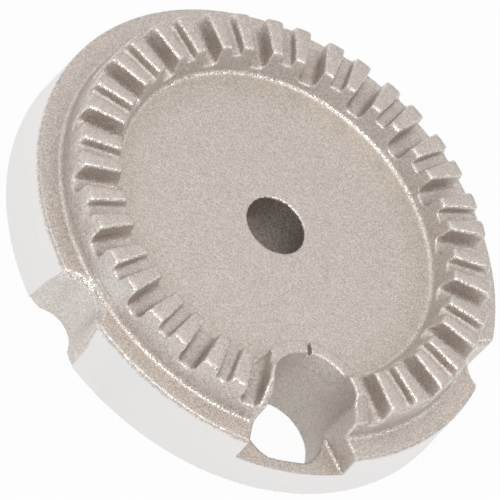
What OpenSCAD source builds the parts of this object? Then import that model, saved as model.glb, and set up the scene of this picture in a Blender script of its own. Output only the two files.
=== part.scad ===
// Burner crown for a gas hob: one aluminium casting with a recessed floor, a ring of
// teeth with deep and shallow flame slots, a flat flange and a machined side wall.
// The model stands on its underside at z = 0. The pocket for the spark plug opens
// towards -Y, and angles run anticlockwise seen from above.

/* [Flange and side wall] */
// Diameter of the machined side wall at the flange
wall_d = 72; // [68:0.5:84]
// Diameter of the machined side wall at the underside
wall_foot_d = 72.6; // [68:0.2:84.6]
// Height of the flange's top face above the underside
wall_h = 9.1; // [7.5:0.1:12]
// Radius of the flange's outer top edge
flange_round = 0.4; // [0.2:0.05:0.6]

/* [Ring of teeth] */
// Outer diameter of the ring at its foot
ring_d = 65; // [64:0.5:66]
// Outer diameter of the teeth at their tops
teeth_d = 64.2; // [62:0.1:64.4]
// Inner diameter of the teeth at their tops
teeth_inner_d = 52; // [51:0.5:54]
// Height of the tooth tops above the flange
ring_h = 5.55; // [5:0.05:7]
// Radius of the tooth tops' outer and inner edges
tooth_round = 0.45; // [0.2:0.05:0.6]
// Radius of the corner where the ring stands on the flange
foot_round = 0.4; // [0.2:0.05:0.6]

/* [Floor] */
// Diameter of the flat floor inside the ring
floor_d = 49.5; // [46:0.5:50]
// Height of the floor above the flange
floor_h = 1.4; // [1:0.05:1.8]
// Radius of the corner between the floor and the teeth
floor_round = 0.4; // [0.2:0.05:0.6]
// Diameter of the centre hole
hole_d = 8.9; // [6:0.1:14]

/* [Flame slots] */
// Number of deep slots, each with a shallow one after it
slot_pairs = 20; // [16:1:20]
// Width of a deep slot
deep_w = 2.7; // [2:0.05:3]
// Depth of a deep slot below the tooth tops
deep_h = 3.1; // [2.4:0.05:3.3]
// Radius of the bottom corners of a deep slot
deep_corner = 0.9; // [0.5:0.05:1]
// Width of a shallow slot
shallow_w = 1.8; // [1.2:0.05:2]
// Depth of a shallow slot below the tooth tops
shallow_h = 1.45; // [0.8:0.05:1.8]
// Radius along the upper edges of every slot
slot_round = 0.3; // [0.15:0.05:0.4]

/* [Spark plug pocket] */
// Diameter of the pocket's bore
bore_d = 12.6; // [10:0.1:13.6]
// Distance from the crown's axis to the bore's axis
bore_r = 28.6; // [28:0.1:29]
// Offset of the bore's axis along X from the pocket's middle line
bore_shift = -0.5; // [-1:0.1:1]
// Thickness of the wall that closes the pocket towards the floor
screen_t = 2; // [1.5:0.1:2.4]
// Angle over which the ring is lowered behind the pocket
screen_angle = 21; // [18:1:24]
// Depth of the lowered part below the tooth tops
screen_drop = 0.85; // [0.5:0.05:1.2]
// Height that the teeth beside the pocket lose at their outer ends
web_drop = 2; // [1:0.1:2.2]
// Length over which they slope down to that
web_run = 3.2; // [2:0.1:5]
// Width of the gas slit across the lowered part
slit_w = 0.6; // [0.3:0.05:1]
// Depth of the gas slit
slit_h = 1; // [0.5:0.1:1.5]
// Width of the cut in front of the pocket, at the bore's axis
cut_w = 12; // [8:0.1:12.4]
// Angle by which each side of the cut opens outwards
cut_flare = 20; // [10:1:22]
// Depth of the cut below the flange
cut_drop = 4; // [2:0.1:5]
// Thickness of the wall in front of the bore
front_t = 1.7; // [1.2:0.1:2]

/* [Side notches] */
// Angle from the pocket to each of the two notches in the side wall
notch_angle = 63; // [54:9:90]
// Radius of a notch
notch_r = 4.1; // [3:0.1:5]
// Depth of a notch in from the side wall
notch_in = 2.6; // [2:0.1:3]
// Radius of a notch's two lips
lip_round = 3; // [1:0.1:3.2]
// Bevel along a notch's top rim
notch_bevel = 0.7; // [0.3:0.1:0.9]

/* [Hidden] */
$fn = 96;
over = 1;                          // how far a cutter reaches past what it cuts
turn_steps = 180;                  // steps of a full turn for the body
arc_steps = 3;                     // flats that make up each rounded edge
kiss = 0.02;                       // overlap of curves that would only graze each other
wall_r = wall_d / 2;
top_z = wall_h + ring_h;           // tooth tops
floor_z = wall_h + floor_h;        // floor inside the ring
deep_z = top_z - deep_h;           // bottom of a deep slot
shallow_z = top_z - shallow_h;     // bottom of a shallow slot
screen_z = top_z - screen_drop;    // top of the lowered part behind the pocket
cut_z = wall_h - cut_drop;         // bottom of the cut in the flange
pitch = 360 / slot_pairs;          // angle from one deep slot to the next
notch_at = wall_r - notch_in + notch_r;  // distance of a notch's axis from the crown's
lip_at = wall_r - lip_round + kiss;      // distance of a lip's axis from the crown's
// Angle at the crown's axis between a notch and the axis of either lip.
lip_turn = acos((notch_at ^ 2 + lip_at ^ 2 - (notch_r + lip_round - kiss) ^ 2)
    / (2 * notch_at * lip_at));

function polar(r, a) = [r * cos(a), r * sin(a)];

// Points that round a corner with radius r, in equal steps. The sides of the corner run
// off at two angles, and the points go from the first side to the second.
function arc(at, first, second, r) =
    let (s = sign(first - second), half = abs(first - second) / 2,
        middle = at + polar(r / sin(half), (first + second) / 2),
        start = first + 90 * s, end = second + 270 * s)
    [for (i = [0 : arc_steps]) middle + polar(r, start + (end - start) * i / arc_steps)];

// Half section of the crown without its cuts.
module section() {
    foot = [ring_d / 2, wall_h];
    outer = [teeth_d / 2, top_z];
    inner = [teeth_inner_d / 2, top_z];
    edge = [floor_d / 2, floor_z];
    draft = atan2(wall_h, wall_foot_d / 2 - wall_r);    // of the side wall
    lean = atan2(outer.y - foot.y, outer.x - foot.x);   // of the ring's outer face
    slope = atan2(inner.y - edge.y, inner.x - edge.x);  // of its inner face
    polygon([
        [0, 0], [wall_foot_d / 2, 0],
        each arc([wall_r, wall_h], 360 - draft, 180, flange_round),
        each arc(foot, 0, lean, foot_round),
        each arc(outer, 180 + lean, 180, tooth_round),
        each arc(inner, 360, 180 + slope, tooth_round),
        each arc(edge, slope, 180, floor_round),
        [0, floor_z]
    ]);
}

module body() {
    rotate_extrude($fn = turn_steps) section();
}

// Straight cutter along +X for one slot: width w, bottom at z, bottom corners of radius c.
module slot(w, z, c) {
    r = slot_round;
    flare_z = top_z - r + kiss;
    rotate([90, 0, 90]) linear_extrude(height = wall_r) {
        translate([-w / 2, z + c]) square([w, top_z + over - z - c]);
        if (c > 0) {
            translate([-w / 2 + c, z]) square([w - 2 * c, c + over]);
            for (s = [-1, 1]) translate([s * (w / 2 - c), z + c]) circle(c);
        }
        difference() {
            translate([-w / 2 - r, flare_z]) square([w + 2 * r, r + over]);
            for (s = [-1, 1]) translate([s * (w / 2 + r), flare_z]) circle(r);
        }
    }
}

// All slots. The deep slot at the pocket and the shallow slots next to it are left out.
module slots() {
    for (i = [0 : slot_pairs - 1]) {
        if (i != 0) rotate([0, 0, i * pitch - 90])
            translate([floor_d / 2 - over, 0, 0]) slot(deep_w, deep_z, deep_corner);
        if (i != 0 && i != slot_pairs - 1) rotate([0, 0, (i + 0.5) * pitch - 90])
            translate([floor_d / 2 - over, 0, 0]) slot(shallow_w, shallow_z, 0);
    }
}

// The wall round the bore that keeps the floor closed. It ends inside the teeth.
module screen() {
    translate([0, 0, wall_h]) linear_extrude(height = screen_z - wall_h) intersection() {
        translate([bore_shift, -bore_r]) circle(bore_d / 2 + screen_t);
        circle(teeth_inner_d / 2 + over);
    }
}

// Upright wedge from the crown's axis over an angle that the pocket's middle line halves.
module wedge(angle, z) {
    translate([0, 0, z]) linear_extrude(height = top_z + over - z)
        polygon([[0, 0], for (s = [-1, 1]) polar(wall_r + over, -90 + s * angle / 2)]);
}

// All that is taken away for the spark plug: the lowered part of the ring with its gas
// slit, the slope of the teeth beside it, the bore and the cut in the flange.
module pocket() {
    wedge(screen_angle, screen_z);
    difference() {
        wedge(2 * pitch, top_z - web_drop);
        translate([0, 0, top_z - web_drop - over]) cylinder(h = web_drop + 2 * over,
            r1 = teeth_d / 2 + web_run * over / web_drop,
            r2 = teeth_d / 2 - web_run * (web_drop + over) / web_drop);
    }
    translate([-slit_w / 2, -bore_r, screen_z - slit_h])
        cube([slit_w, bore_d / 2 + screen_t + over, slit_h + over]);
    translate([0, 0, -over]) linear_extrude(height = top_z + 2 * over) intersection() {
        translate([bore_shift, -bore_r]) circle(bore_d / 2);
        circle(wall_r - front_t);
    }
    reach = wall_r + over - bore_r;
    wide = cut_w / 2 + reach * tan(cut_flare);
    translate([bore_shift, -bore_r, cut_z]) linear_extrude(height = top_z + over - cut_z)
        polygon([[-cut_w / 2, 0], [-wide, -reach], [wide, -reach], [cut_w / 2, 0]]);
}

// Outline of a notch whose middle line is +X, with lips that round it into the side wall.
module notch_outline() {
    outside = wall_r + 2 * over;
    translate([notch_at, 0]) circle(notch_r);
    difference() {
        polygon([
            [notch_at, 0],
            polar(lip_at, -lip_turn), polar(outside, -lip_turn),
            polar(outside, lip_turn), polar(lip_at, lip_turn)
        ]);
        for (s = [-1, 1]) translate(polar(lip_at, s * lip_turn)) circle(lip_round);
    }
}

// Cutter for one notch, with a bevel along its top rim.
module notch() {
    translate([0, 0, -over]) linear_extrude(height = wall_h + 2 * over) notch_outline();
    translate([notch_at, 0, wall_h - notch_bevel]) cylinder(h = notch_bevel + over,
        r1 = notch_r - kiss, r2 = notch_r - kiss + notch_bevel + over);
}

module burner_crown() {
    color("#b9ada2") difference() {
        union() {
            body();
            screen();
        }
        slots();
        pocket();
        translate([0, 0, -over]) cylinder(d = hole_d, h = top_z + 2 * over);
        for (s = [-1, 1]) rotate([0, 0, -90 + s * notch_angle]) notch();
    }
}

burner_crown();
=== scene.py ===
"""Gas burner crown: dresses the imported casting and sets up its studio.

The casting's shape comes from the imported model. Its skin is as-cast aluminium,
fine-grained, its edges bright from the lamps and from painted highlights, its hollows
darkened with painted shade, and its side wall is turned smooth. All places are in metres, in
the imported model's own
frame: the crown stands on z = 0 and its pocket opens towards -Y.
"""

import math

import bpy
import numpy as np
from mathutils import Matrix, Vector


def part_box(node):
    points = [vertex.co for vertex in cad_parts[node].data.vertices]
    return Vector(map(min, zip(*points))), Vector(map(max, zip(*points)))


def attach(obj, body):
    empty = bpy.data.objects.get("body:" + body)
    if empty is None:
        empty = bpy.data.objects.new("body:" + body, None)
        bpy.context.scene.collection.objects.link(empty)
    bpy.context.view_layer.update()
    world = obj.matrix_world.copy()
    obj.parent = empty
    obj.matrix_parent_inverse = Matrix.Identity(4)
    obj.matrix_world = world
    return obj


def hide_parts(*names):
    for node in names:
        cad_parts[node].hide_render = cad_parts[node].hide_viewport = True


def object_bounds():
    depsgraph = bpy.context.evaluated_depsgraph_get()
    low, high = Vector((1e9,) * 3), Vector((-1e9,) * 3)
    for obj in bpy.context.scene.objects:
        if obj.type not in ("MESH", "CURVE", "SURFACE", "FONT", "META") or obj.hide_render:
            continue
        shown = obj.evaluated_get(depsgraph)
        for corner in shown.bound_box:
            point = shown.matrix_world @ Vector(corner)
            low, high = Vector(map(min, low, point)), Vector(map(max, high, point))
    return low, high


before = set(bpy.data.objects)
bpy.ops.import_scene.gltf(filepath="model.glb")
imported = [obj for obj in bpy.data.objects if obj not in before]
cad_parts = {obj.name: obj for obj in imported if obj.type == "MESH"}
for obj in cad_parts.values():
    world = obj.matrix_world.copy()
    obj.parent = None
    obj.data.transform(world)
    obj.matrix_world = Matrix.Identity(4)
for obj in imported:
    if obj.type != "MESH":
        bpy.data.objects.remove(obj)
CAD_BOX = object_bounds()

bl_info = {
    "name": "Gas burner crown",
    "version": (1, 0, 0),
    "blender": (4, 5, 0),
    "location": "3D View > Sidebar > Burner crown",
    "description": "Dresses a cast gas burner crown and lights it in a plain studio",
    "category": "Object",
}

NODE = "burner_crown"
PIECE = "crown_casting"

# Places on the casting.
WALL_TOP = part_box(NODE)[1].z - 0.00555       # top face of the flange
WALL_FOOT_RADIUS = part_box(NODE)[1].x         # machined wall at the underside
WALL_TOP_RADIUS = WALL_FOOT_RADIUS - 0.0003  # machined wall at the flange
HOLE_RADIUS = 0.00445                        # centre hole
FLOOR_RADIUS = 0.02475
FLOOR_TOP = 0.0105
NOTCH_PLACE = (0.03341, -0.01702, 0.0)       # axis of one notch; the other is its mirror
NOTCH_REACH = 0.0051                         # radius of the notch's top rim and its bevel

# Bounds of the regions that are rounded by different amounts.
RING_BOTTOM = WALL_TOP + 0.0002
RING_FOOT_RADIUS = 0.033
RING_FOOT_BOTTOM = WALL_TOP - 0.0006
TOOTH_END_RADIUS = 0.0308
CORNER_RADII = (0.0236, 0.0262)              # where the floor turns up into the teeth
CORNER_TOP = 0.0113
CORNER_END = -0.0215                         # y at which the pocket's wall cuts it off
SLIT_HALF_WIDTH = 0.0012
SLIT_START = -0.018                          # y at which the gas slit begins
RIM_RADIUS = 0.0352

# How far each region is rounded, from 0 to 1. A later one goes over an earlier one.
ROUNDING = {"body": 0.3, "ring": 0.4, "tooth ends": 1.0, "floor corner": 0.8,
            "gas slit": 0.15, "ring foot": 0.5, "rim": 0.04}
BEND_ROUNDING = 0.35                         # rounding at which bends are kept unscaled
MERGE_DISTANCE = 1e-6
SMOOTH_FACTOR = 0.5
FLAT_FACE_WEIGHT = 60

# Bounds of the places that catch the light.
CORNER_GLINT_TOP = WALL_TOP + 0.0021         # inner corners shine below it
RIM_GLINT_RADIUS = WALL_TOP_RADIUS - 0.0004
RIM_GLINT_BOTTOM = WALL_TOP - 0.0007
NOTCH_GLINT_BOTTOM = WALL_TOP - 0.0008

# Studio.
FLOOR_SIZE = 4
FLOOR_ROUGHNESS = 0.9
MIRROR_FADE = 0.01                           # width of the fade to the mirrored floor
FRONT_LIFT = 1.2                             # raises the front softbox over the camera
FRONT_DISTANCE = 1.1
FRONT_SIZE = 0.4
TOP_PLACE = (0.1, 0.1, 0.7)
TOP_SIZE = 0.6
SENSOR_WIDTH = 36                            # mm
CLIP_END = 20

FLOAT = "NodeSocketFloat"
VECTOR = "NodeSocketVector"
WHITE = (1, 1, 1, 1)
MIDDLE_GREY = (0.5, 0.5, 0.5)


# Settings

class CastingSettings(bpy.types.PropertyGroup):
    """Sizes and colours of the as-cast skin."""
    colour: bpy.props.FloatVectorProperty(
        name="Skin colour", description="Colour of the as-cast aluminium",
        subtype="COLOR", size=3, min=0, max=1, default=(0.73, 0.655, 0.60))
    upright_lit_colour: bpy.props.FloatVectorProperty(
        name="Lit upright colour", description="Colour painted on upright faces for the light that falls on them",
        subtype="COLOR", size=3, min=0, max=1, default=(0.765, 0.715, 0.675))
    speck_and_glint_colour: bpy.props.FloatVectorProperty(
        name="Speck and glint colour", description="Colour of the bright grains, and of the highlights painted on the edges",
        subtype="COLOR", size=3, min=0, max=1, default=(0.98, 0.93, 0.86))
    roughness: bpy.props.FloatProperty(
        name="Skin roughness", description="Roughness of the as-cast skin",
        min=0.1, max=1, default=0.5)
    grain: bpy.props.FloatProperty(
        name="Grain size", description="Width of one grain of the as-cast skin",
        subtype="DISTANCE", unit="LENGTH", min=0.0001, max=0.001, default=0.00013)
    grain_depth: bpy.props.FloatProperty(
        name="Grain depth", description="Height of the grain above the skin",
        subtype="DISTANCE", unit="LENGTH", min=0, max=0.0002, default=0.00003)
    facet_tilt: bpy.props.FloatProperty(
        name="Facet tilt", description="How far the single grains lean to one side",
        min=0, max=2, default=0.3)
    edge_tilt: bpy.props.FloatProperty(
        name="Edge facet tilt", description="How far the grains lean along the edges",
        min=0, max=2, default=0.45)
    sparkle: bpy.props.FloatProperty(
        name="Sparkle size", description="Width of one glinting grain along the edges",
        subtype="DISTANCE", unit="LENGTH", min=0.0001, max=0.001, default=0.00016)
    glint_paint: bpy.props.FloatProperty(
        name="Painted edge glints", description="How strongly the glints on the edges are painted in the speck colour",
        min=0, max=1, default=1.0)
    edge_roughness: bpy.props.FloatProperty(
        name="Edge roughness", description="Roughness of the glinting grains",
        min=0.1, max=1, default=0.25)
    recess_reach: bpy.props.FloatProperty(
        name="Recess reach", description="Distance over which walls darken a recess",
        subtype="DISTANCE", unit="LENGTH", min=0.0005, max=0.02, default=0.005)
    recess_shade_tint: bpy.props.FloatVectorProperty(
        name="Recess shade", description="What deep recesses keep of the skin's colour under their painted shade",
        subtype="COLOR", size=3, min=0, max=1, default=(0.785, 0.77, 0.755))
    hole_shade_tint: bpy.props.FloatVectorProperty(
        name="Hole shade",
        description="What the darkest grains in the centre hole keep of the skin's colour under its painted shade",
        subtype="COLOR", size=3, min=0, max=1, default=(0.465, 0.41, 0.375))
    verge_shade_tint: bpy.props.FloatVectorProperty(
        name="Verge shade", description="What the floor's edge keeps of the skin's colour under its painted shade",
        subtype="COLOR", size=3, min=0, max=1, default=(0.92, 0.925, 0.89))
    voxel: bpy.props.FloatProperty(
        name="Mesh step", description="Step of the fine mesh that the edges are rounded in",
        subtype="DISTANCE", unit="LENGTH", min=0.0001, max=0.0005, default=0.00015)
    rounding: bpy.props.IntProperty(
        name="Rounding passes", description="Passes that round the casting's edges",
        min=0, max=100, default=60)
    triangles: bpy.props.IntProperty(
        name="Triangles", description="Most triangles that the finished casting has",
        min=20000, max=199000, default=180000)


class WallSettings(bpy.types.PropertyGroup):
    """Sizes and colours of the machined side wall."""
    colour: bpy.props.FloatVectorProperty(
        name="Wall colour", description="Colour of the machined aluminium",
        subtype="COLOR", size=3, min=0, max=1, default=(0.885, 0.865, 0.86))
    roughness: bpy.props.FloatProperty(
        name="Wall roughness", description="Roughness of the machined wall",
        min=0.05, max=1, default=0.3)
    feed: bpy.props.FloatProperty(
        name="Tool feed", description="Height of one turning line on the wall",
        subtype="DISTANCE", unit="LENGTH", min=0.00005, max=0.001, default=0.00018)
    line_depth: bpy.props.FloatProperty(
        name="Line depth", description="Depth of the turning lines",
        subtype="DISTANCE", unit="LENGTH", min=0, max=0.0001, default=0.000004)
    skin_band: bpy.props.FloatProperty(
        name="Skin band", description="Height of the as-cast band above the machined wall",
        subtype="DISTANCE", unit="LENGTH", min=0, max=0.003, default=0.00015)


class StudioSettings(bpy.types.PropertyGroup):
    """Floor, lamps and camera."""
    floor_colour: bpy.props.FloatVectorProperty(
        name="Floor colour", description="Colour of the floor under the crown",
        subtype="COLOR", size=3, min=0, max=1, default=(0.9, 0.9, 0.9))
    floor_glow: bpy.props.FloatProperty(
        name="Floor glow", description="Share of the floor that is seen as plain white",
        min=0, max=1, default=0.93)
    floor_mirror: bpy.props.FloatProperty(
        name="Floor in the metal", description="Brightness of the floor that metal mirrors",
        min=0, max=1, default=0.8)
    room: bpy.props.FloatProperty(
        name="Room light", description="Strength of the light from all around",
        min=0, max=2, default=0.6)
    front_power: bpy.props.FloatProperty(
        name="Front softbox", description="Power of the softbox beside the camera",
        unit="POWER", min=0, max=100, default=2.2)
    top_power: bpy.props.FloatProperty(
        name="Top softbox", description="Power of the softbox over the crown",
        unit="POWER", min=0, max=100, default=0.7)
    aim: bpy.props.FloatVectorProperty(
        name="Aim", description="Point that the camera looks at",
        subtype="XYZ", unit="LENGTH", size=3, default=(-0.002116, -0.001917, 0.006334))
    distance: bpy.props.FloatProperty(
        name="Camera distance", description="Distance from the camera to its aim",
        subtype="DISTANCE", unit="LENGTH", min=0.1, max=5, default=0.8405)
    azimuth: bpy.props.FloatProperty(
        name="Camera azimuth", description="Direction of the camera, from +X towards +Y",
        subtype="ANGLE", unit="ROTATION", default=math.radians(-133.31))
    elevation: bpy.props.FloatProperty(
        name="Camera elevation", description="Height angle of the camera above the floor",
        subtype="ANGLE", unit="ROTATION", default=math.radians(45.82))
    roll: bpy.props.FloatProperty(
        name="Camera roll", description="Lean of the picture to one side",
        subtype="ANGLE", unit="ROTATION", default=math.radians(-43.77))
    lens: bpy.props.FloatProperty(
        name="Lens", description="Focal length of the camera",
        subtype="DISTANCE_CAMERA", unit="CAMERA", min=10, max=1000, default=440.38)


# Helpers for shader trees

def feed(tree, socket, value):
    """Gives an input its value, which is another node's output or a plain value."""
    if isinstance(value, bpy.types.NodeSocket):
        tree.links.new(value, socket)
    else:
        socket.default_value = value


def add(tree, kind, at, inputs=None, **values):
    """Adds one shader node at a place of the tree, and sets its properties and inputs."""
    node = tree.nodes.new(kind)
    node.location = at
    for name, value in values.items():
        setattr(node, name, value)
    for name, value in (inputs or {}).items():
        feed(tree, node.inputs[name], value)
    return node


def math_node(tree, operation, at, *operands):
    """Adds a math node and returns its result."""
    node = add(tree, "ShaderNodeMath", at, operation=operation)
    for socket, value in zip(node.inputs, operands):
        feed(tree, socket, value)
    return node.outputs[0]


def vector_node(tree, operation, at, *operands):
    """Adds a vector math node and returns its result."""
    node = add(tree, "ShaderNodeVectorMath", at, operation=operation)
    for socket, value in zip([i for i in node.inputs if i.enabled], operands):
        feed(tree, socket, value)
    return next(o for o in node.outputs if o.enabled)


def mix_node(tree, kind, at, factor, first, second):
    """Mixes two numbers, vectors or colours by a mask."""
    node = add(tree, "ShaderNodeMix", at, {"Factor": factor}, data_type=kind)
    ends = [i for i in node.inputs if i.enabled and i.name in ("A", "B")]
    for socket, value in zip(ends, (first, second)):
        feed(tree, socket, value)
    return next(o for o in node.outputs if o.enabled)


def ramp(tree, at, value, span, onto=(0.0, 1.0), smooth=False):
    """Maps a span of a value, given by its two ends, onto another one."""
    (start, end), (first, last) = span, onto
    node = add(tree, "ShaderNodeMapRange", at,
               {"Value": value, "From Min": start, "From Max": end, "To Min": first,
                "To Max": last}, interpolation_type="SMOOTHSTEP" if smooth else "LINEAR")
    return node.outputs["Result"]


def noise(tree, at, where, scale, detail, roughness=0.5):
    """Adds a noise pattern and returns its grey value."""
    node = add(tree, "ShaderNodeTexNoise", at,
               {"Vector": where, "Scale": scale, "Detail": detail, "Roughness": roughness})
    return node.outputs["Fac"]


def object_place(tree, at):
    """Returns the place on the object, whole and as its separate X, Y and Z."""
    where = add(tree, "ShaderNodeTexCoord", at).outputs["Object"]
    parts = add(tree, "ShaderNodeSeparateXYZ", (at[0] + 200, at[1]), {"Vector": where})
    return where, parts.outputs


def from_axis(tree, at, where):
    """Returns the way from the crown's axis to a place, and its length."""
    flat = vector_node(tree, "MULTIPLY", at, where, (1, 1, 0))
    return flat, vector_node(tree, "LENGTH", (at[0] + 200, at[1]), flat)


def opaque(colour):
    """Returns a colour with full alpha."""
    return (*colour, 1)


def tint(tree, at, colour, mask, plain, full):
    """Multiplies a colour by a tint that goes from plain to full with a mask."""
    shade = mix_node(tree, "RGBA", at, mask, plain, full)
    return vector_node(tree, "MULTIPLY", (at[0] + 200, at[1]), colour, shade)


def lean(tree, at, random_colour, tilt):
    """Turns the random colour of a grain into the way that it leans."""
    centred = vector_node(tree, "SUBTRACT", at, random_colour, MIDDLE_GREY)
    return vector_node(tree, "SCALE", (at[0] + 200, at[1]), centred, tilt)


def new_group(name, inputs, outputs):
    """Makes a shader group with named sockets and returns its tree, inputs and outputs."""
    tree = bpy.data.node_groups.new(name, "ShaderNodeTree")
    for label, kind in inputs.items():
        tree.interface.new_socket(label, in_out="INPUT", socket_type=kind)
    for label, kind in outputs.items():
        tree.interface.new_socket(label, in_out="OUTPUT", socket_type=kind)
    start = add(tree, "NodeGroupInput", (-1200, 0))
    end = add(tree, "NodeGroupOutput", (900, 0))
    return tree, start.outputs, end.inputs


def place_group(tree, name, at, inputs):
    """Places a shader group in a material and sets its inputs."""
    return add(tree, "ShaderNodeGroup", at, inputs, node_tree=bpy.data.node_groups[name])


# Shader groups

GRAIN_DENSITY = 0.9              # grains in one grain size
LUMP_DENSITY = 0.22              # lumps in one grain size
LUMP_HEIGHT = 0.8                # in heights of the fine grain
SPECK_LUCK = (0.93, 1.0)         # random value from which a grain is a bright speck
GLINT_LUCK = (0.2, 0.5)          # random value from which a grain on an edge glints
CLOUDS_PER_METRE = 180.0
GRAIN_TONE, CLOUD_TONE = 0.9, 0.25


def skin_group():
    """Grain of the as-cast skin: its normal, bright specks, glints on edges and tone."""
    tree, given, out = new_group(
        "as-cast skin",
        {"Grain size": FLOAT, "Grain depth": FLOAT, "Facet tilt": FLOAT,
         "Sparkle size": FLOAT, "Edge tilt": FLOAT, "Edge": FLOAT},
        {"Normal": VECTOR, "Specks": FLOAT, "Glints": FLOAT, "Tone": FLOAT})
    link = tree.links.new
    where = add(tree, "ShaderNodeTexCoord", (-1200, -300)).outputs["Object"]
    per_metre = math_node(tree, "DIVIDE", (-1000, -100), 1.0, given["Grain size"])
    flakes_per_metre = math_node(tree, "DIVIDE", (-850, -1000), 1.0, given["Sparkle size"])
    grains = add(tree, "ShaderNodeTexVoronoi", (-700, -350), {
        "Vector": where,
        "Scale": math_node(tree, "MULTIPLY", (-850, -350), per_metre, GRAIN_DENSITY)})
    flakes = add(tree, "ShaderNodeTexVoronoi", (-700, -1000),
                 {"Vector": where, "Scale": flakes_per_metre})

    fine = noise(tree, (-700, 200), where, per_metre, 3.0, 0.6)
    lumps_per_metre = math_node(tree, "MULTIPLY", (-850, -50), per_metre, LUMP_DENSITY)
    lumps = noise(tree, (-700, -50), where, lumps_per_metre, 2.0)
    height = math_node(tree, "MULTIPLY_ADD", (-450, 100), lumps, LUMP_HEIGHT, fine)
    bump = add(tree, "ShaderNodeBump", (-200, 200),
               {"Height": height, "Distance": given["Grain depth"]})
    facets = lean(tree, (-450, -300), grains.outputs["Color"], given["Facet tilt"])
    edge_tilt = math_node(tree, "MULTIPLY", (-450, -1200), given["Edge tilt"],
                          given["Edge"])
    edge_facets = lean(tree, (-450, -1000), flakes.outputs["Color"], edge_tilt)
    tilted = vector_node(tree, "ADD", (50, 100), bump.outputs["Normal"], facets)
    tilted = vector_node(tree, "ADD", (150, 100), tilted, edge_facets)
    link(vector_node(tree, "NORMALIZE", (250, 100), tilted), out["Normal"])

    chance = add(tree, "ShaderNodeSeparateColor", (-250, -500),
                 {"Color": grains.outputs["Color"]}).outputs
    link(ramp(tree, (50, -400), chance["Green"], SPECK_LUCK, smooth=True), out["Specks"])
    luck = add(tree, "ShaderNodeSeparateColor", (-250, -1400),
               {"Color": flakes.outputs["Color"]}).outputs
    bright = ramp(tree, (50, -1400), luck["Green"], GLINT_LUCK)
    link(math_node(tree, "MULTIPLY", (300, -1300), bright, given["Edge"]), out["Glints"])

    cloud = noise(tree, (-700, -700), where, CLOUDS_PER_METRE, 4.0)
    cloud = math_node(tree, "MULTIPLY", (-250, -750), cloud, CLOUD_TONE)
    link(math_node(tree, "MULTIPLY_ADD", (50, -700), chance["Blue"], GRAIN_TONE, cloud),
         out["Tone"])


OUTER_BEND = (0.1, 0.32)         # bend over which an outer edge comes to shine
INNER_BEND = (-0.06, -0.25)      # the same for an inner corner
CORNER_GAIN = 1.25
PATCHES_PER_METRE = 2200.0       # bright patches of the line along the rim
PATCH_SPAN = (0.44, 0.6)         # grey value over which a patch comes in
PATCH_SHINE = (0.0, 0.9)


def edge_group():
    """Mask of what catches the light: edges, low inner corners, the rim and the notches."""
    tree, given, out = new_group(
        "glinting edges",
        {"Corner height": FLOAT, "Rim radius": FLOAT, "Rim height": FLOAT,
         "Notch place": VECTOR, "Notch reach": FLOAT, "Notch height": FLOAT},
        {"Mask": FLOAT})
    # Besides tilting the grains and smoothing them, this mask paints a highlight into the
    # skin's colour.
    where, parts = object_place(tree, (-1200, -400))
    bend = add(tree, "ShaderNodeAttribute", (-900, 0), attribute_name="bend")
    outer = ramp(tree, (-600, 200), bend.outputs["Fac"], OUTER_BEND, smooth=True)
    inner = ramp(tree, (-600, 0), bend.outputs["Fac"], INNER_BEND, smooth=True)
    low = math_node(tree, "LESS_THAN", (-700, -200), parts["Z"], given["Corner height"])
    inner = math_node(tree, "MULTIPLY", (-300, 0), inner, low)
    inner = math_node(tree, "MULTIPLY", (-150, 0), inner, CORNER_GAIN)
    bent = math_node(tree, "MAXIMUM", (0, 100), outer, inner)

    _, radius = from_axis(tree, (-1000, -600), where)
    wide = math_node(tree, "GREATER_THAN", (-500, -500), radius, given["Rim radius"])
    high = math_node(tree, "GREATER_THAN", (-500, -700), parts["Z"], given["Rim height"])
    rim = math_node(tree, "MULTIPLY", (-200, -600), wide, high)
    patches = noise(tree, (-500, -300), where, PATCHES_PER_METRE, 1.0)
    broken = ramp(tree, (-300, -350), patches, PATCH_SPAN, PATCH_SHINE, smooth=True)
    rim = math_node(tree, "MULTIPLY", (0, -600), rim, broken)
    edge = math_node(tree, "MAXIMUM", (150, 0), bent, rim)

    either_side = add(tree, "ShaderNodeCombineXYZ", (-700, -900), {
        "X": math_node(tree, "ABSOLUTE", (-850, -900), parts["X"]), "Y": parts["Y"]})
    away = vector_node(tree, "DISTANCE", (-500, -900), either_side.outputs["Vector"],
                       given["Notch place"])
    close = math_node(tree, "LESS_THAN", (-300, -900), away, given["Notch reach"])
    upper = math_node(tree, "GREATER_THAN", (-300, -1050), parts["Z"],
                      given["Notch height"])
    bevel = math_node(tree, "MULTIPLY", (-100, -900), close, upper)
    tree.links.new(math_node(tree, "MAXIMUM", (300, 0), edge, bevel), out["Mask"])


OPEN_SPAN = (0.1, 0.9)           # share of open sky over which the painted recess shade fades out
HOLE_SPAN = (-0.0003, -0.00005)  # way into the hole over which its mask comes in
VERGE_SPAN = (0.78, 0.98)        # share of the floor's radius over which its verge starts
VERGE_END = 1.02
LEVEL_REACH = 0.0003             # how near to its height the floor is


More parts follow.
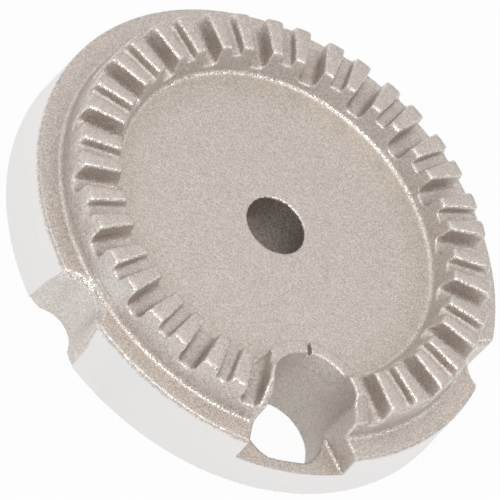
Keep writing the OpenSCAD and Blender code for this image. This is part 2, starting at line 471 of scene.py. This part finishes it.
def recess_group():
    """Masks for painted shade: of open places, of the centre hole and of the floor's verge.
    """
    tree, given, out = new_group(
        "shaded recesses",
        {"Reach": FLOAT, "Hole radius": FLOAT, "Floor radius": FLOAT,
         "Floor height": FLOAT},
        {"Open": FLOAT, "Hole": FLOAT, "Verge": FLOAT})
    link = tree.links.new
    where, parts = object_place(tree, (-800, -300))
    seen = add(tree, "ShaderNodeAmbientOcclusion", (-400, 0), {"Distance": given["Reach"]},
               samples=6, only_local=True)
    link(ramp(tree, (0, 0), seen.outputs["AO"], OPEN_SPAN, smooth=True), out["Open"])

    _, radius = from_axis(tree, (-600, -450), where)
    inside = math_node(tree, "SUBTRACT", (-200, -300), given["Hole radius"], radius)
    link(ramp(tree, (0, -300), inside, HOLE_SPAN, smooth=True), out["Hole"])

    level = math_node(tree, "COMPARE", (-200, -600), parts["Z"], given["Floor height"],
                      LEVEL_REACH)
    share = math_node(tree, "DIVIDE", (-200, -450), radius, given["Floor radius"])
    verge = ramp(tree, (0, -500), share, VERGE_SPAN, smooth=True)
    verge = math_node(tree, "MULTIPLY", (200, -500), verge, level)
    on_floor = math_node(tree, "LESS_THAN", (0, -700), share, VERGE_END)
    link(math_node(tree, "MULTIPLY", (350, -500), verge, on_floor), out["Verge"])


WALL_SPAN = (0.00014, 0.0001)    # distance over which the wall's mask comes in
RAGGED_PER_METRE = 2600.0        # teeth of the line between the skin and the wall
RAGGED_DEPTH = 0.0012
RAGGED_SPAN = (-0.00025, -0.00015)  # way below that line over which the mask comes in
LINE_BREAKS = 12.0               # changes along a turning line, per metre


def wall_group():
    """The machined wall: a mask of where it is, its true normal and its turning lines."""
    tree, given, out = new_group(
        "machined wall",
        {"Foot radius": FLOAT, "Top radius": FLOAT, "Height": FLOAT, "Skin band": FLOAT,
         "Feed": FLOAT},
        {"Mask": FLOAT, "Normal": VECTOR, "Lines": FLOAT})
    link = tree.links.new
    where, parts = object_place(tree, (-1200, -300))
    flat, radius = from_axis(tree, (-1000, 100), where)

    taper = math_node(tree, "SUBTRACT", (-1000, 400), given["Foot radius"],
                      given["Top radius"])
    taper = math_node(tree, "DIVIDE", (-800, 400), taper, given["Height"])
    narrower = math_node(tree, "MULTIPLY", (-600, 300), taper, parts["Z"])
    wall = math_node(tree, "SUBTRACT", (-400, 300), given["Foot radius"], narrower)
    off = math_node(tree, "SUBTRACT", (-200, 200), radius, wall)
    off = math_node(tree, "ABSOLUTE", (-50, 200), off)
    near = ramp(tree, (150, 200), off, WALL_SPAN, smooth=True)
    ragged = noise(tree, (-800, -500), where, RAGGED_PER_METRE, 2.0)
    height = math_node(tree, "MULTIPLY_ADD", (-500, -500), ragged, RAGGED_DEPTH,
                       parts["Z"])
    edge = math_node(tree, "SUBTRACT", (-500, -200), given["Height"], given["Skin band"])
    below = math_node(tree, "SUBTRACT", (-250, -300), edge, height)
    low = ramp(tree, (0, -300), below, RAGGED_SPAN)
    link(math_node(tree, "MULTIPLY", (400, 0), near, low), out["Mask"])

    lift = add(tree, "ShaderNodeCombineXYZ", (-400, 600),
               {"Z": math_node(tree, "MULTIPLY", (-600, 600), taper, radius)})
    normal = vector_node(tree, "ADD", (-200, 600), flat, lift.outputs["Vector"])
    turned = add(tree, "ShaderNodeVectorTransform", (0, 600), {"Vector": normal},
                 vector_type="NORMAL", convert_from="OBJECT", convert_to="WORLD")
    link(vector_node(tree, "NORMALIZE", (200, 600), turned.outputs["Vector"]),
         out["Normal"])

    squash = add(tree, "ShaderNodeCombineXYZ", (-400, -800), {
        "X": math_node(tree, "MULTIPLY", (-650, -750), parts["X"], LINE_BREAKS),
        "Y": math_node(tree, "MULTIPLY", (-650, -900), parts["Y"], LINE_BREAKS),
        "Z": math_node(tree, "DIVIDE", (-650, -1050), parts["Z"], given["Feed"])})
    link(noise(tree, (-150, -800), squash.outputs["Vector"], 1.0, 2.0), out["Lines"])


# Materials

UPRIGHT_SPAN = (0.9, 0.3)        # rise of the normal from a level to an upright face
TONE_SPAN = (0.1, 1.0)
TONE_GRADE = (0.8, 1.15)         # brightness of the darkest and of the palest grains
TONE_HOLE_SHADE = (1.0, 0.2)           # painted shade on them inside the centre hole
GAP_SHADE = -0.08                # painted shade between the glints of an edge
SPECK_SHARE = 0.85
LINE_SPAN = (0.3, 0.7)
LINE_SHADE = 0.97                # brightness along a turning line


def skin_colour(tree, casting, skin, edges, recess):
    """Returns the skin's colour, with its painted shade and painted glints, and the mask of
    its bright grains and glints.
    """
    # Painted light: upright faces get their own paler, greyer colour for how the light falls
    # on them, and level faces the skin's colour.
    normal = add(tree, "ShaderNodeTexCoord", (-1600, 700)).outputs["Normal"]
    facing = add(tree, "ShaderNodeSeparateXYZ", (-1400, 700), {"Vector": normal})
    level = math_node(tree, "ABSOLUTE", (-1300, 700), facing.outputs["Z"])
    upright = ramp(tree, (-1200, 800), level, UPRIGHT_SPAN)
    colour = mix_node(tree, "RGBA", (-1000, 600), upright, opaque(casting.colour),
                      opaque(casting.upright_lit_colour))
    grade = ramp(tree, (-1200, 500), skin["Tone"], TONE_SPAN, TONE_GRADE)
    colour = vector_node(tree, "SCALE", (-1000, 400), colour, grade)
    # Painted shade: places that see little open sky are darkened towards the recess shade
    # tint.
    colour = tint(tree, (-1000, 200), colour, recess["Open"],
                  opaque(casting.recess_shade_tint), WHITE)
    # Painted shade in the centre hole, deepest on its darker grains.
    grain_hole_shade = ramp(tree, (-1100, -450), skin["Tone"], TONE_SPAN, TONE_HOLE_SHADE)
    hole_shade_mask = math_node(tree, "MULTIPLY", (-950, -400), recess["Hole"], grain_hole_shade)
    colour = tint(tree, (-800, 200), colour, hole_shade_mask, WHITE, opaque(casting.hole_shade_tint))
    # Painted shade along the floor's outer edge, at the foot of the teeth.
    colour = tint(tree, (-600, 200), colour, recess["Verge"], WHITE,
                  opaque(casting.verge_shade_tint))

    # Painted shade: between the glints, an edge is made a little darker than the rest of the
    # skin, so that its line of glints looks broken.
    between = math_node(tree, "SUBTRACT", (-1100, 0), edges["Mask"], skin["Glints"])
    painted_gap_shade = math_node(tree, "MULTIPLY_ADD", (-1000, 50), between, GAP_SHADE, 1.0)
    colour = vector_node(tree, "SCALE", (-500, 400), colour, painted_gap_shade)
    # Painted highlight: glinting grains on the edges are mixed towards the pale speck colour,
    # on top of the lamp's real glints; the random specks elsewhere are the skin's own bright
    # grains.
    glints = math_node(tree, "MULTIPLY", (-1000, 0), skin["Glints"], casting.glint_paint)
    specks = math_node(tree, "MULTIPLY", (-1000, -100), skin["Specks"], SPECK_SHARE)
    bright = math_node(tree, "MAXIMUM", (-800, 0), glints, specks)
    colour = mix_node(tree, "RGBA", (-400, 300), bright, colour,
                      opaque(casting.speck_and_glint_colour))
    return colour, bright


def wall_colour(tree, wall, lines):
    """Returns the machined wall's colour, a little darker along the turning lines."""
    lined = add(tree, "ShaderNodeValToRGB", (-800, -500), {"Fac": lines})
    dark, pale = lined.color_ramp.elements
    dark.position, pale.position = LINE_SPAN
    dark.color = opaque(c * LINE_SHADE for c in wall.colour)
    pale.color = opaque(wall.colour)
    return lined.outputs["Color"]


def crown_material(casting, wall):
    """Cast aluminium with a grainy skin, painted glints and painted shade, and a smooth
    machined wall.
    """
    material = bpy.data.materials.new("cast_aluminium")
    material.use_nodes = True
    tree = material.node_tree
    shader = tree.nodes["Principled BSDF"].inputs
    shader["Metallic"].default_value = 1.0

    edges = place_group(tree, "glinting edges", (-1500, -100), {
        "Corner height": CORNER_GLINT_TOP, "Rim radius": RIM_GLINT_RADIUS,
        "Rim height": RIM_GLINT_BOTTOM, "Notch place": NOTCH_PLACE,
        "Notch reach": NOTCH_REACH, "Notch height": NOTCH_GLINT_BOTTOM}).outputs
    skin = place_group(tree, "as-cast skin", (-1300, 200), {
        "Grain size": casting.grain, "Grain depth": casting.grain_depth,
        "Facet tilt": casting.facet_tilt, "Sparkle size": casting.sparkle,
        "Edge tilt": casting.edge_tilt, "Edge": edges["Mask"]}).outputs
    recess = place_group(tree, "shaded recesses", (-1300, -300), {
        "Reach": casting.recess_reach, "Hole radius": HOLE_RADIUS,
        "Floor radius": FLOOR_RADIUS, "Floor height": FLOOR_TOP}).outputs
    turned = place_group(tree, "machined wall", (-1300, -500), {
        "Foot radius": WALL_FOOT_RADIUS, "Top radius": WALL_TOP_RADIUS,
        "Height": WALL_TOP, "Skin band": wall.skin_band, "Feed": wall.feed}).outputs

    colour, bright = skin_colour(tree, casting, skin, edges, recess)
    feed(tree, shader["Base Color"],
         mix_node(tree, "RGBA", (-200, 300), turned["Mask"], colour,
                  wall_colour(tree, wall, turned["Lines"])))
    rough = ramp(tree, (-600, 0), bright, (0.0, 1.0),
                 (casting.roughness, casting.edge_roughness))
    feed(tree, shader["Roughness"],
         mix_node(tree, "FLOAT", (-200, 0), turned["Mask"], rough, wall.roughness))
    ridges = add(tree, "ShaderNodeBump", (-600, -500), {
        "Distance": wall.line_depth, "Height": turned["Lines"],
        "Normal": turned["Normal"]})
    feed(tree, shader["Normal"],
         mix_node(tree, "VECTOR", (-200, -300), turned["Mask"], skin["Normal"],
                  ridges.outputs["Normal"]))
    return material


def seen_directly(tree, path):
    """Mask of what the camera sees straight on or through something clear."""
    return math_node(tree, "MAXIMUM", (-450, 300), path["Is Camera Ray"],
                     path["Is Transmission Ray"])


def floor_material(studio):
    """Pale floor that keeps a faint shadow and is otherwise seen as white."""
    material = bpy.data.materials.new("studio_floor")
    material.use_nodes = True
    tree = material.node_tree
    shader = tree.nodes["Principled BSDF"]
    shader.inputs["Base Color"].default_value = opaque(studio.floor_colour)
    shader.inputs["Roughness"].default_value = FLOOR_ROUGHNESS
    shader.inputs["Specular IOR Level"].default_value = 0.0
    white = add(tree, "ShaderNodeEmission", (0, -300))
    path = add(tree, "ShaderNodeLightPath", (-900, 200)).outputs
    glowing = math_node(tree, "MULTIPLY", (-250, 300), seen_directly(tree, path),
                        studio.floor_glow)

    # The metal mirrors the lit floor, and not the stretch that the crown stands on.
    where = add(tree, "ShaderNodeTexCoord", (-1100, 0)).outputs["Object"]
    radius = vector_node(tree, "LENGTH", (-900, 0), where)
    lit = ramp(tree, (-700, 0), radius, (CAD_BOX[1].x - MIRROR_FADE, CAD_BOX[1].x))
    mirrored = math_node(tree, "MULTIPLY", (-450, 100), path["Is Glossy Ray"], lit)
    mirrored = math_node(tree, "MULTIPLY", (-250, 100), mirrored, studio.floor_mirror)
    share = math_node(tree, "MAXIMUM", (-50, 200), glowing, mirrored)
    mix = add(tree, "ShaderNodeMixShader", (300, 0), {"Fac": share})
    feed(tree, mix.inputs[1], shader.outputs["BSDF"])
    feed(tree, mix.inputs[2], white.outputs["Emission"])
    feed(tree, tree.nodes["Material Output"].inputs["Surface"], mix.outputs["Shader"])
    return material


# Operators

class OBJECT_OT_crown_casting(bpy.types.Operator):
    """Dress the casting: as-cast skin all over and a machined side wall"""
    bl_idname = "object.crown_casting"
    bl_label = "Burner crown casting"

    def copy_node(self, context):
        """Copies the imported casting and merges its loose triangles."""
        bpy.ops.object.select_all(action="DESELECT")
        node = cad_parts[NODE]
        node.select_set(True)
        context.view_layer.objects.active = node
        bpy.ops.object.duplicate()
        piece = context.view_layer.objects.active
        piece.name = PIECE
        for key in [k for k in piece.keys() if k.startswith("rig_")]:
            del piece[key]
        piece.parent = None
        piece.matrix_world = Matrix.Identity(4)
        bpy.ops.object.mode_set(mode="EDIT")
        bpy.ops.mesh.customdata_custom_splitnormals_clear()
        bpy.ops.mesh.select_all(action="SELECT")
        bpy.ops.mesh.remove_doubles(threshold=MERGE_DISTANCE)
        bpy.ops.object.mode_set(mode="OBJECT")
        return piece

    def apply_modifier(self, piece, name, kind, **values):
        """Runs one modifier on the piece and keeps its result."""
        modifier = piece.modifiers.new(name, kind)
        for label, value in values.items():
            setattr(modifier, label, value)
        bpy.ops.object.modifier_apply(modifier=modifier.name)

    def places(self, piece):
        """Returns the vertices' places as rows of x, y, z."""
        flat = np.empty(len(piece.data.vertices) * 3, dtype=np.float32)
        piece.data.vertices.foreach_get("co", flat)
        return flat.reshape(-1, 3)

    def hold_edges(self, piece, at):
        """Weighs how far each place may be rounded: most at the teeth's outer ends."""
        radius = np.hypot(at[:, 0], at[:, 1])
        height = at[:, 2]
        ring = height > RING_BOTTOM
        corner = ((height < CORNER_TOP) & (radius > CORNER_RADII[0])
                  & (radius < CORNER_RADII[1]) & (at[:, 1] > CORNER_END))
        slit = (np.abs(at[:, 0]) < SLIT_HALF_WIDTH) & (at[:, 1] < SLIT_START)
        regions = {
            "ring": ring,
            "tooth ends": ring & (radius > TOOTH_END_RADIUS),
            "floor corner": ring & corner,
            "gas slit": ring & slit,
            "ring foot": ~ring & (radius < RING_FOOT_RADIUS) & (height > RING_FOOT_BOTTOM),
            "rim": radius > RIM_RADIUS,
        }
        weight = np.full(len(at), ROUNDING["body"])
        for name, places in regions.items():
            weight[places] = ROUNDING[name]
        group = piece.vertex_groups.new(name="rounding")
        for share in np.unique(weight):
            group.add(np.flatnonzero(weight == share).tolist(), float(share), "REPLACE")
        return weight

    def mark_bends(self, piece, sharp, weight, step):
        """Keeps how far the rounding moved each place, in steps of the fine mesh."""
        normals = np.empty(len(sharp) * 3, dtype=np.float32)
        piece.data.vertex_normals.foreach_get("vector", normals)
        moved = ((sharp - self.places(piece)) * normals.reshape(-1, 3)).sum(axis=1)
        scale = step * np.maximum(weight, ROUNDING["body"]) / BEND_ROUNDING
        bend = piece.data.attributes.new("bend", "FLOAT", "POINT")
        bend.data.foreach_set("value", (moved / scale).astype(np.float32))

    def execute(self, context):
        casting = context.scene.crown_casting
        piece = self.copy_node(context)
        self.apply_modifier(piece, "fine mesh", "REMESH", mode="VOXEL",
                            voxel_size=casting.voxel, use_smooth_shade=True)
        sharp = self.places(piece)
        weight = self.hold_edges(piece, sharp)
        self.apply_modifier(piece, "rounded edges", "SMOOTH", factor=SMOOTH_FACTOR,
                            iterations=casting.rounding, vertex_group="rounding")
        self.mark_bends(piece, sharp, weight, casting.voxel)
        self.apply_modifier(piece, "fewer faces", "DECIMATE",
                            ratio=casting.triangles / (2 * len(piece.data.polygons)))
        self.apply_modifier(piece, "flat faces lead", "WEIGHTED_NORMAL", mode="FACE_AREA",
                            weight=FLAT_FACE_WEIGHT)

        skin_group()
        edge_group()
        recess_group()
        wall_group()
        piece.data.materials.clear()
        piece.data.materials.append(crown_material(casting, context.scene.crown_wall))

        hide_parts(NODE)
        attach(piece, "root")
        return {"FINISHED"}


class OBJECT_OT_crown_studio(bpy.types.Operator):
    """Set up the floor, the soft lamps and the camera"""
    bl_idname = "object.crown_studio"
    bl_label = "Burner crown studio"

    def softbox(self, context, name, place, size, power):
        """Adds a square lamp that looks at the crown."""
        bpy.ops.object.light_add(type="AREA", location=place)
        lamp = context.object
        lamp.name = name
        lamp.data.size = size
        lamp.data.energy = power
        lamp.rotation_euler = (-Vector(place)).to_track_quat("-Z", "Y").to_euler()

    def light_room(self, context, studio):
        """Lights the crown from all around, in front of a white background."""
        world = bpy.data.worlds.new("room")
        context.scene.world = world
        world.use_nodes = True
        tree = world.node_tree
        path = add(tree, "ShaderNodeLightPath", (-700, 0)).outputs
        light = tree.nodes["Background"].inputs
        light["Color"].default_value = WHITE
        feed(tree, light["Strength"],
             ramp(tree, (-250, 0), seen_directly(tree, path), (0.0, 1.0),
                  (studio.room, 1.0)))

    def set_camera(self, context, studio, away):
        """Places the camera on the line that runs away from its aim, and leans it."""
        level_up = Vector((0, 0, 1)) - away * away.z
        level_up.normalize()
        level_right = level_up.cross(away)
        up = level_up * math.cos(studio.roll) + level_right * math.sin(studio.roll)
        place = Matrix((up.cross(away), up, away)).transposed().to_4x4()
        place.translation = Vector(studio.aim) + away * studio.distance
        bpy.ops.object.camera_add()
        camera = context.object
        camera.name = "camera"
        camera.matrix_world = place
        camera.data.lens = studio.lens
        camera.data.sensor_width = SENSOR_WIDTH
        camera.data.clip_end = CLIP_END
        context.scene.camera = camera
        context.scene.view_settings.view_transform = "Standard"

    def execute(self, context):
        studio = context.scene.crown_studio
        bpy.ops.object.select_all(action="DESELECT")
        bpy.ops.mesh.primitive_plane_add(size=FLOOR_SIZE, location=(0, 0, 0))
        floor = context.object
        floor.name = "floor"
        floor.data.materials.append(floor_material(studio))

        away = Vector((math.cos(studio.azimuth) * math.cos(studio.elevation),
                       math.sin(studio.azimuth) * math.cos(studio.elevation),
                       math.sin(studio.elevation)))
        front = away + Vector((0, 0, FRONT_LIFT))
        self.softbox(context, "front_softbox", front.normalized() * FRONT_DISTANCE,
                     FRONT_SIZE, studio.front_power)
        self.softbox(context, "top_softbox", TOP_PLACE, TOP_SIZE, studio.top_power)
        self.light_room(context, studio)
        self.set_camera(context, studio, away)
        return {"FINISHED"}


class VIEW3D_PT_burner_crown(bpy.types.Panel):
    """Lists the crown's sizes and colours and the buttons that build it"""
    bl_idname = "VIEW3D_PT_burner_crown"
    bl_label = "Burner crown"
    bl_space_type = "VIEW_3D"
    bl_region_type = "UI"
    bl_category = "Burner crown"

    def draw(self, context):
        scene = context.scene
        for settings, operator in ((scene.crown_casting, "object.crown_casting"),
                                   (scene.crown_wall, None),
                                   (scene.crown_studio, "object.crown_studio")):
            box = self.layout.box()
            for name in settings.__annotations__:
                box.prop(settings, name)
            if operator:
                box.operator(operator)


CLASSES = (CastingSettings, WallSettings, StudioSettings, OBJECT_OT_crown_casting,
           OBJECT_OT_crown_studio, VIEW3D_PT_burner_crown)


def register():
    for item in CLASSES:
        bpy.utils.register_class(item)
    bpy.types.Scene.crown_casting = bpy.props.PointerProperty(type=CastingSettings)
    bpy.types.Scene.crown_wall = bpy.props.PointerProperty(type=WallSettings)
    bpy.types.Scene.crown_studio = bpy.props.PointerProperty(type=StudioSettings)


def unregister():
    del bpy.types.Scene.crown_studio
    del bpy.types.Scene.crown_wall
    del bpy.types.Scene.crown_casting
    for item in reversed(CLASSES):
        bpy.utils.unregister_class(item)


def main():
    register()
    bpy.ops.object.crown_casting()
    bpy.ops.object.crown_studio()


if __name__ == "__main__":
    main()
